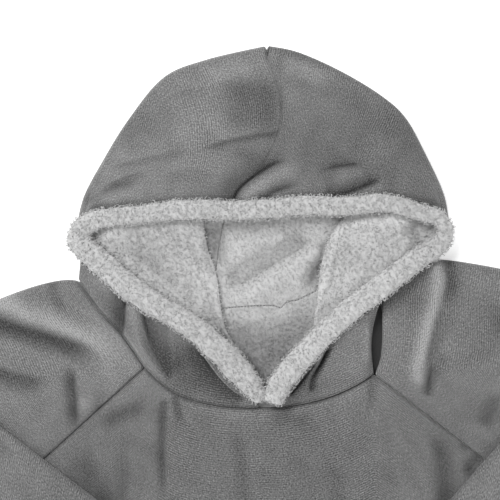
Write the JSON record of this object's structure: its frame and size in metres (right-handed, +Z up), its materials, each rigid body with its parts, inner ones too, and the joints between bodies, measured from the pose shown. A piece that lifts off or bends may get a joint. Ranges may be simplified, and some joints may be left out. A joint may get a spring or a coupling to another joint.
{
  "type": "wearable blanket hoodie",
  "caption": "Oversized fleece hoodie blanket laid flat, front up, with a pile-lined hood spread open and the raglan sleeves folded in over the body.",
  "frame": {"origin": "middle of the garment's outline, on the surface that it lies on", "axes": "+Z up from the surface towards the front of the garment, +Y from the hem to the crown of the hood, +X to the viewer's right"},
  "size_m": [0.77, 1.09, 0.0403],
  "materials": {
    "fleece": "short brushed nap, mid grey, matt with a soft sheen",
    "pile": "curly lambswool-like pile, light grey, matt"
  },
  "bodies": {
    "root": {"back": "fleece", "front": "fleece", "sleeve_left": "fleece", "sleeve_right": "fleece", "hood_left": "fleece", "hood_right": "fleece", "hood_left_side": "fleece", "hood_right_side": "fleece", "lining_left": "pile", "lining_right": "pile", "lining_left_fold": "pile", "lining_right_fold": "pile", "lining_neck": "pile", "band_left": "pile", "band_right": "pile"}
  },
  "joints": []
}
